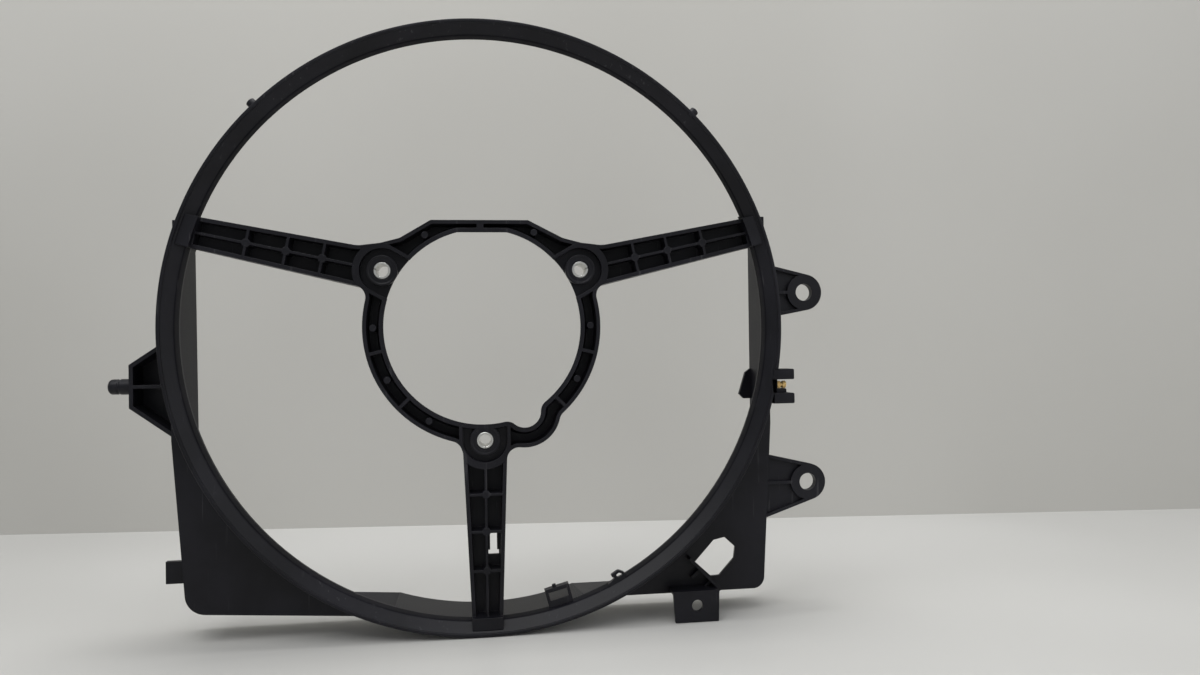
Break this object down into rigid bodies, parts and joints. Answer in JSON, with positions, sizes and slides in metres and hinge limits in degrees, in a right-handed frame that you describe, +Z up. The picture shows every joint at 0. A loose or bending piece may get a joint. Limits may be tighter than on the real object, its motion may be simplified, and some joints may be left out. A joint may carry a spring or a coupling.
{
  "type": "radiator fan shroud",
  "caption": "Ring-shaped fan shroud with three channelled spokes carrying a motor ring, and a shallow three-sided plenum with mounting ears, peg and foot tab.",
  "frame": {"origin": "centre of the motor bolt circle, in the plane of the motor seat", "axes": "+Y along the fan axis towards the radiator, +Z up, +X to the right seen from the engine"},
  "size_m": [0.4802, 0.056, 0.402],
  "materials": {
    "plastic": "satin moulded",
    "steel": "bright rolled",
    "brass": "turned"
  },
  "bodies": {
    "root": {"boss_left": "plastic", "boss_lower": "plastic", "boss_right": "plastic", "bottom_bulge": "plastic", "bottom_wall_left": "plastic", "bottom_wall_right": "plastic", "brass_insert": "brass", "cable_hook": "plastic", "clip_fork": "plastic", "corner_panel_left": "plastic", "corner_panel_right": "plastic", "ear_lower": "plastic", "ear_upper": "plastic", "foot_bracket": "plastic", "locating_peg": "plastic", "motor_ring_left": "plastic", "motor_ring_right": "plastic", "motor_ring_top": "plastic", "peg_bracket": "plastic", "rim_tab": "plastic", "ring_left": "plastic", "ring_nubs": "plastic", "ring_right": "plastic", "ring_top": "plastic", "side_tab": "plastic", "side_wall_left": "plastic", "side_wall_right": "plastic", "sleeve_left": "steel", "sleeve_lower": "steel", "sleeve_right": "steel", "spoke_left": "plastic", "spoke_lower": "plastic", "spoke_right": "plastic", "wire_clip": "plastic"}
  },
  "joints": []
}
